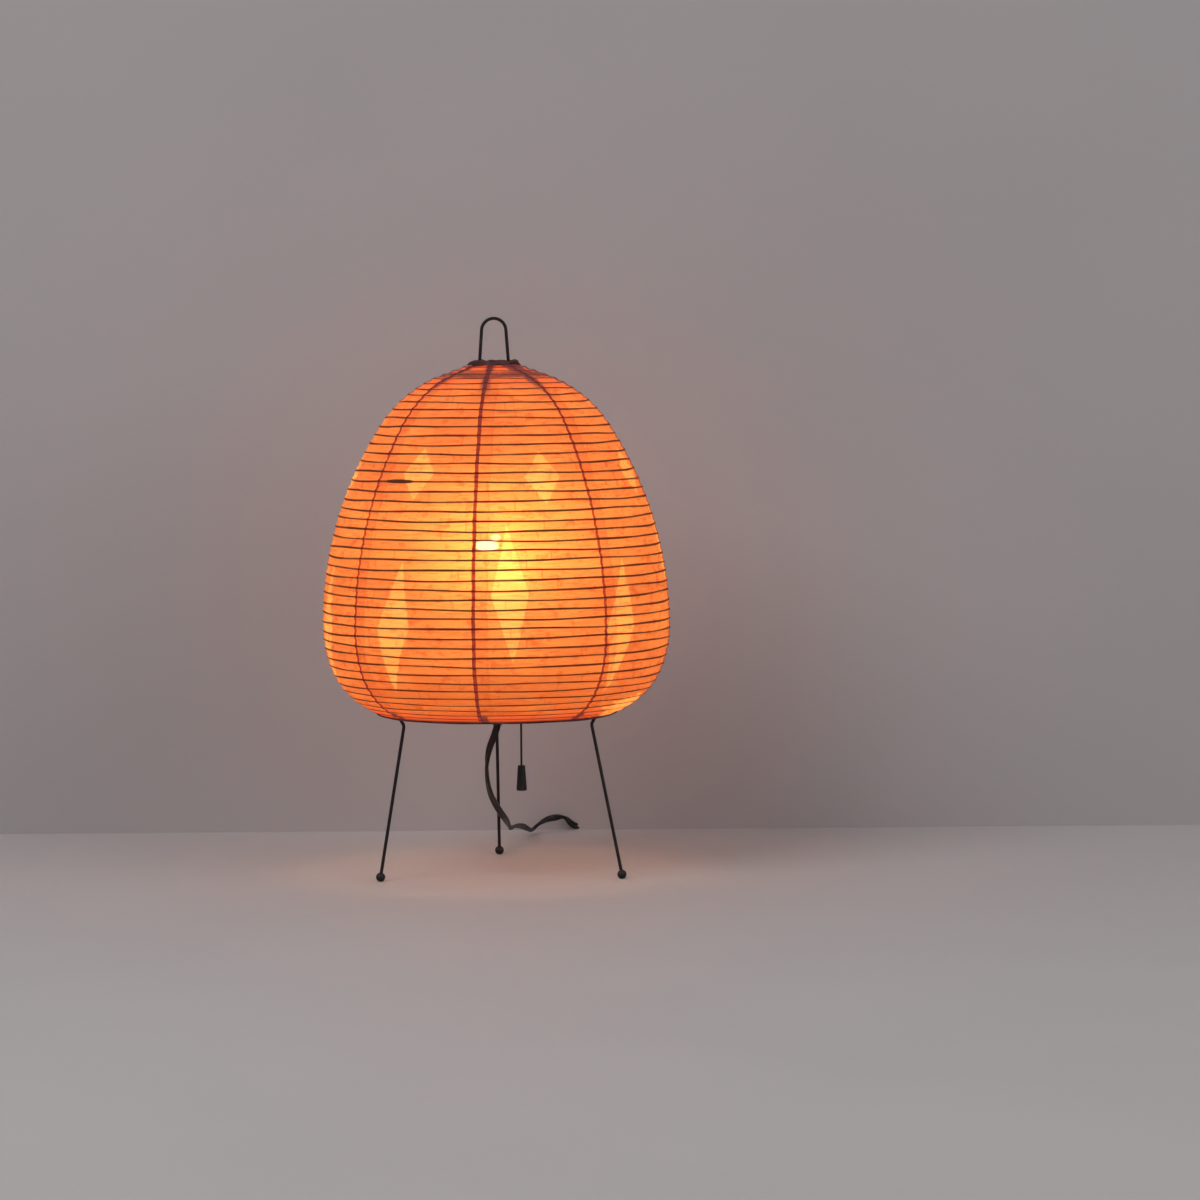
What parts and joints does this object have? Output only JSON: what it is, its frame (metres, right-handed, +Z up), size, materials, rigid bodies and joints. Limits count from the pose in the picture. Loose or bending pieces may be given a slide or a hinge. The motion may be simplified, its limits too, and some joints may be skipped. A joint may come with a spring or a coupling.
{
  "type": "paper table lamp",
  "caption": "Table lamp with a bulging ribbed paper shade stretched on wire between a tripod and a handle, with a screw-in bulb, a pull switch and a mains cord.",
  "frame": {"origin": "on the table under the shade's axis", "axes": "+Z up, the front faces -Y, +X to the right as seen from the front"},
  "size_m": [0.267, 0.5042, 0.424],
  "materials": {
    "paper": "dyed rice paper, lit from inside",
    "seam_paper": "dyed rice paper strip",
    "bamboo": "split bamboo",
    "black_wire": "black lacquered wire",
    "black_plastic": "satin",
    "porcelain": "glazed",
    "steel": "zinc plated",
    "brass": "bright",
    "frosted_glass": "frosted",
    "stem_glass": "clear",
    "filament": "hot wire",
    "aluminium": "rolled thread",
    "solder": "solder",
    "black_glass": "fused",
    "black_cord": "braided",
    "cord_jacket": "satin"
  },
  "bodies": {
    "lamp": {"paper_gore_1": "paper", "paper_gore_2": "paper", "paper_gore_3": "paper", "paper_gore_4": "paper", "paper_gore_5": "paper", "paper_gore_6": "paper", "paper_gore_7": "paper", "paper_gore_8": "paper", "seam_strips": "seam_paper", "top_collar": "seam_paper", "bottom_hem": "seam_paper", "bamboo_ribs": "bamboo", "bottom_hoop": "black_wire", "top_hoop": "black_wire", "leg_left": "black_wire", "leg_right": "black_wire", "leg_back": "black_wire", "stretcher_handle": "black_wire", "hub_plate": "black_wire", "stretcher_sleeves": "black_wire", "foot_left": "black_plastic", "foot_right": "black_plastic", "foot_back": "black_plastic", "holder_cap": "black_plastic", "holder_shell": "black_plastic", "pull_guide": "black_plastic", "holder_insulator": "porcelain", "holder_nipple": "steel", "holder_washer": "steel", "holder_nut": "steel", "terminal_screws": "steel", "screw_shell": "brass", "centre_contact": "brass", "mains_cord": "cord_jacket", "mains_coil": "cord_jacket", "cord_tail": "cord_jacket", "coil_tie": "cord_jacket", "cord_grip": "black_plastic", "plug_body": "cord_jacket", "plug_blades": "brass"},
    "bulb": {"bulb_glass": "frosted_glass", "bulb_screw_cap": "aluminium", "bulb_insulator": "black_glass", "bulb_contact": "solder", "bulb_stem": "stem_glass", "bulb_filament": "filament"},
    "pull": {"pull_rod": "steel", "pull_cord": "black_cord", "pull_knob": "black_plastic"}
  },
  "joints": [
    {"name": "bulb_unscrew", "type": "slide", "parent": "lamp", "child": "bulb", "axis": [0, 0, 1], "range_m": [0, 0.026]},
    {"name": "pull_switch", "type": "slide", "parent": "lamp", "child": "pull", "axis": [0, 0, -1], "range_m": [0, 0.01], "stiffness_N_per_m": 300}
  ]
}
